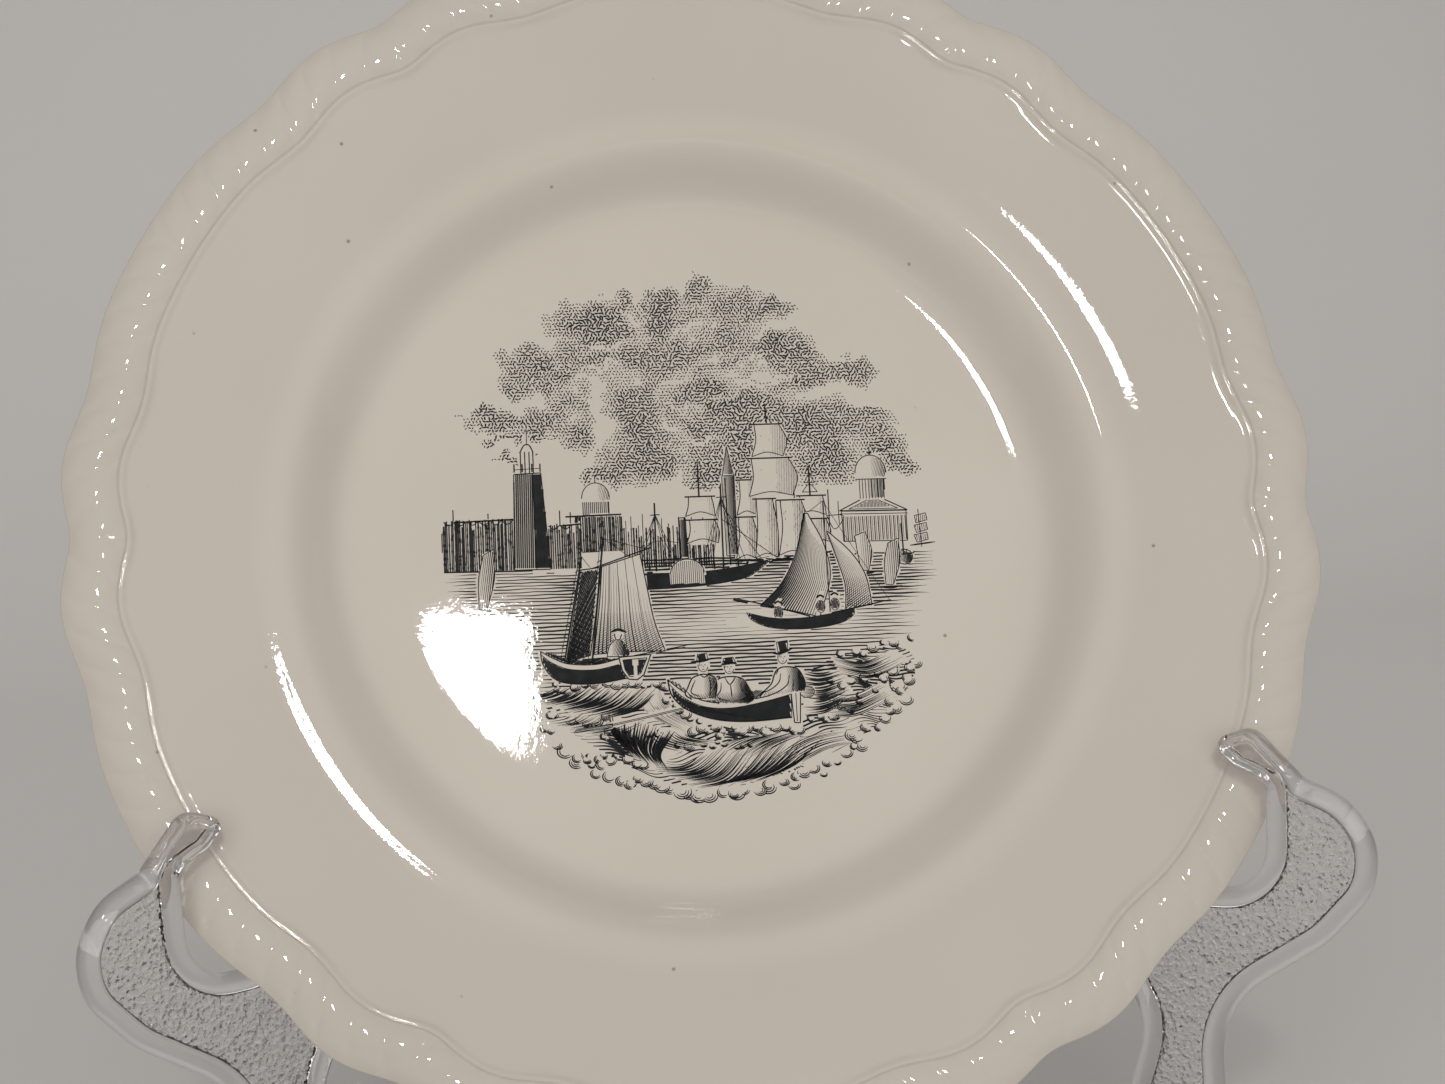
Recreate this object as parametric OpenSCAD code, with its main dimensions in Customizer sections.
// Souvenir dinner plate with a lobed, reeded edge, standing in a clear folding
// plate stand. Sizes are in millimetres. X runs to the right across the front,
// Y runs to the back, and Z runs up from the table that the stand rests on.

/* [Plate] */
// Nominal outside diameter of the plate
plate_d = 254; // [180:1:320]
// Height of the rim above the foot ring
plate_h = 23; // [16:0.5:34]
// Radius of the flat floor of the well
well_r = 66; // [40:1:80]
// Radius at which the sloping wall meets the flange
shoulder_r = 88; // [70:1:100]
// Depth of the well floor below the shoulder
well_depth = 12.5; // [6:0.5:22]
// Rise of the flange from the shoulder to the reeded edge
flange_rise = 3.6; // [0:0.1:10]
// Thickness of the pottery in the well
wall = 4.2; // [2.5:0.1:7]
// Outside radius of the foot ring
foot_r = 76; // [50:1:90]
// Width of the foot ring
foot_w = 4.5; // [2:0.5:8]
// Width of the reeded edge band
edge_w = 12; // [6:0.5:18]
// Number of lobes round the edge
lobes = 6; // [3:1:12]
// Number of reeds in one lobe
reeds_per_lobe = 18; // [6:2:30]
// Radius of one reed
reed_r = 2.0; // [0.8:0.1:3]
// Slant of a reed away from the radius, in degrees
reed_slant = 32; // [0:1:60]

/* [Pose of the plate] */
// Height of the middle of the rim above the table
plate_z = 144; // [110:1:200]
// Lean of the plate away from upright, in degrees
lean = 18; // [8:1:35]
// Turn of the plate in its seats, in degrees
plate_turn = -2.2; // [-30:0.1:30]

/* [Stand] */
// Distance of the hinge line behind the origin
hinge_y = 37.84; // [20:0.01:60]
// Distance from the middle of the rim back to the hinge line
hinge_back = 40; // [30:0.5:60]
// Opening of each wing from the centre plane, in degrees
wing_open = 57; // [20:1:75]
// Width of the round rib along the edge of a wing
rib_w = 4.2; // [2:0.1:8]
// Thickness of the rib
rib_t = 5.0; // [2:0.1:8]
// Thickness of the web inside the rib
web_t = 1.6; // [0.8:0.1:4]
// Offset of a wing's middle from the hinge line, so that the wings fold flat
wing_offset = 2.9; // [2:0.1:6]
// Height of the hinge spine
spine_h = 166; // [80:1:220]

/* [Hinge] */
// Radius of the hinge pin
pin_r = 2.0; // [1:0.05:4]
// Radial running clearance between the pin and the knuckles
pin_gap = 0.05; // [0.01:0.01:0.1]
// Outside radius of a knuckle
knuckle_r = 4.6; // [3:0.1:8]
// Number of knuckles along the spine
knuckles = 5; // [3:2:9]
// Gap between neighbouring knuckles
knuckle_gap = 0.4; // [0.1:0.1:1]

/* [Hidden] */
$fn = 48;
rim_r = plate_d / 2;
rim_z = plate_h - 1.4;
band_r = rim_r - edge_w;
well_z = plate_h - 2.2 - flange_rise - well_depth;
shoulder_z = well_z + well_depth;
ground = 1.6;
spine_lo = 4;
pitch = (spine_h - spine_lo - 2) / knuckles;

// Radius of the lobed outline in direction a. Each lobe is a broad arc that
// ends in a small cusp-sided notch between two soft shoulders.
function outline_r(a) =
    rim_r - 0.2 + 0.9 * exp(-pow(fold(a) - 7.2, 2) / 14)
    - 1.5 * exp(-pow(fold(a) / 3.0, 2)) - 1.5 * exp(-pow((fold(a) - 14.2) / 4.6, 2))
    + 0.9 * (1 - cos(lobes * a)) / 2;
// Angle from the nearest notch, in degrees
function fold(a) = abs(a - 360 / lobes * round(a / (360 / lobes)));
// Soft step from 0 to 1
function ease(t) = t <= 0 ? 0 : t >= 1 ? 1 : t * t * (3 - 2 * t);
// Height of the front face at radius r
function front_z(r) =
    r < shoulder_r
        ? well_z + well_depth * ease((r - well_r) / (shoulder_r - well_r))
        : shoulder_z + flange_rise * (r - shoulder_r) / (band_r - shoulder_r);
// Height of the back face at radius r
function back_z(r) = front_z(r + 1.2) - wall - (r > well_r && r < shoulder_r ? 0.8 : 0);

// Cross-section of the pottery, from the axis out past the edge
module plate_section() {
    front = concat(
        [[0, well_z]],
        [for (i = [0:22]) let (r = well_r + (shoulder_r + 2 - well_r) * i / 22) [r, front_z(r)]],
        [[band_r - 2, front_z(band_r - 2)]],
        [for (i = [0:6]) let (a = 180 - 180 * i / 6)
            [band_r + 1.0 * cos(a) - 0.4, shoulder_z + flange_rise + 0.9 * sin(a)]],
        [for (i = [1:8]) let (t = i / 8)
            [band_r + 0.8 + (edge_w + 2) * t, plate_h - 2.0 + 1.7 * sin(150 * t) - 1.3 * t]]
    );
    back = concat(
        [for (i = [0:6]) let (t = 1 - i / 6)
            [band_r - 4 + (edge_w + 6.8) * t, plate_h - 6.6 + 3.2 * t * t]],
        [for (i = [0:10]) let (r = shoulder_r + 4 - (shoulder_r + 4 - foot_r - 1) * i / 10)
            [r, back_z(r)]],
        [[foot_r, ground + 1.0], [foot_r - 0.8, 0], [foot_r - foot_w + 0.8, 0],
         [foot_r - foot_w, ground], [foot_r - foot_w - 3, well_z - wall + 0.6],
         [well_r, well_z - wall], [0, well_z - wall]]
    );
    polygon(concat(front, back));
}

// Lobed outline of the edge
module plate_outline() {
    polygon([for (i = [0:239]) let (a = i * 1.5) outline_r(a) * [cos(a), sin(a)]]);
}

// One slanted reed, lying on the edge band at angle a
module reed(a, hand) {
    r_mid = outline_r(a) - edge_w * 0.52;
    rotate([0, 0, a]) translate([r_mid, 0, plate_h - 1.6])
        rotate([0, 0, hand * reed_slant]) rotate([0, 90, 0])
            cylinder(r = reed_r, h = edge_w * 0.62, center = true, $fn = 20);
}

// All reeds: each lobe is mirrored about its middle
module reeds() {
    step = 360 / lobes / reeds_per_lobe;
    for (k = [0:lobes - 1], i = [0:reeds_per_lobe - 1])
        reed(360 / lobes * k + step * (i + 0.5), i < reeds_per_lobe / 2 ? 1 : -1);
}

// The plate flat on its foot ring
module plate_flat() {
    intersection() {
        rotate_extrude($fn = 120) plate_section();
        translate([0, 0, -1]) linear_extrude(plate_h + 4) plate_outline();
    }
    reeds();
}

// The plate, leaning back in the stand
module plate() {
    color([0.80, 0.76, 0.69])
        translate([0, hinge_y - hinge_back, plate_z]) rotate([90 - lean, 0, 0])
            rotate([0, 0, plate_turn]) translate([0, 0, -rim_z]) plate_flat();
}

// Points of an arc of radius c that rounds corner q between p and n
function corner(p, q, n, c) =
    let (a = (p - q) / norm(p - q), b = (n - q) / norm(n - q),
         half = acos(max(-1, min(1, a * b))) / 2,
         cut = min(c / tan(half), 0.48 * norm(p - q), 0.48 * norm(n - q)),
         rad = cut * tan(half), mid = (a + b) / norm(a + b),
         centre = q + mid * (rad / sin(half)),
         s = q + a * cut - centre, e = q + b * cut - centre,
         a0 = atan2(s[1], s[0]), turn = atan2(s[0] * e[1] - s[1] * e[0], s * e),
         steps = max(2, ceil(abs(turn) / 12)))
    [for (i = [0:steps]) centre + rad * [cos(a0 + turn * i / steps), sin(a0 + turn * i / steps)]];

// Outline of a wing: distance out from the hinge, height, corner radius
wing_corners = [
    [6.2, 0, 1.5], [25, 0, 4], [20, 15, 14], [32, 53, 20], [90, 53, 18], [98.5, 36, 14],
    [92, 16, 22], [80, 0, 4.5], [124, 0, 6], [114, 16, 24], [113.5, 40, 24], [136, 54.5, 22],
    [145.5, 65, 14], [146.5, 75, 13.5], [141, 83.6, 13.5], [132.3, 87.3, 4], [122.6, 97.6, 4],
    [113.6, 94.4, 3.4], [118.6, 89.3, 3.2], [124.8, 86.6, 3], [124.2, 64.8, 10], [106, 64.8, 8],
    [103.0, 77, 3.4], [96.5, 77, 3.4], [93, 68, 8], [77.4, 68, 9], [24.2, 157.2, 12],
    [17, 166, 6], [6.2, 166, 2]
];
wing_points = let (n = len(wing_corners))
    [for (i = [0:n - 1])
        let (p = wing_corners[(i + n - 1) % n], q = wing_corners[i], r = wing_corners[(i + 1) % n])
        for (w = corner([p[0], p[1]], [q[0], q[1]], [r[0], r[1]], q[2])) w];

// Solid outline of a wing, seen flat
module wing_shape() { polygon(wing_points); }

// One wing lying in the plane that runs forward from the hinge line.
// Its middle is set off to the outer side, and owned knuckles wrap the pin.
module wing_flat(own) {
    difference() {
        union() {
            translate([wing_offset, 0, 0]) rotate([90, 0, -90]) {
                linear_extrude(web_t, center = true) wing_shape();
            }
            translate([wing_offset, 0, 0]) rotate([90, 0, -90])
                linear_extrude(rib_t, center = true)
                    difference() { wing_shape(); offset(delta = -rib_w) wing_shape(); }
            for (k = [own:2:knuckles - 1])
                translate([0, 0, spine_lo + k * pitch + knuckle_gap / 2]) {
                    cylinder(r = knuckle_r, h = pitch - knuckle_gap, $fn = 40);
                    translate([0.8, -8, 0]) cube([knuckle_r - 0.8, 8, pitch - knuckle_gap]);
                }
        }
        translate([0, 0, -1]) cylinder(r = pin_r + pin_gap, h = spine_h + 2, $fn = 40);
    }
}

module left_wing() {
    color([0.86, 0.85, 0.88, 0.5]) translate([0, hinge_y, 0]) rotate([0, 0, -wing_open])
        mirror([1, 0, 0]) wing_flat(0);
}

module right_wing() {
    color([0.86, 0.85, 0.88, 0.5]) translate([0, hinge_y, 0]) rotate([0, 0, wing_open])
        wing_flat(1);
}

// Plain pin with a low round head formed on each end
module hinge_pin() {
    color([0.80, 0.79, 0.83, 0.6]) translate([0, hinge_y, 0]) {
        translate([0, 0, spine_lo - 1]) cylinder(r = pin_r, h = spine_h - spine_lo, $fn = 40);
        translate([0, 0, spine_lo - 2.2]) cylinder(r = pin_r + 1.6, h = 2, $fn = 40);
        translate([0, 0, spine_h - 1.8]) cylinder(r = pin_r + 1.6, h = 2, $fn = 40);
    }
}

plate();
left_wing();
right_wing();
hinge_pin();
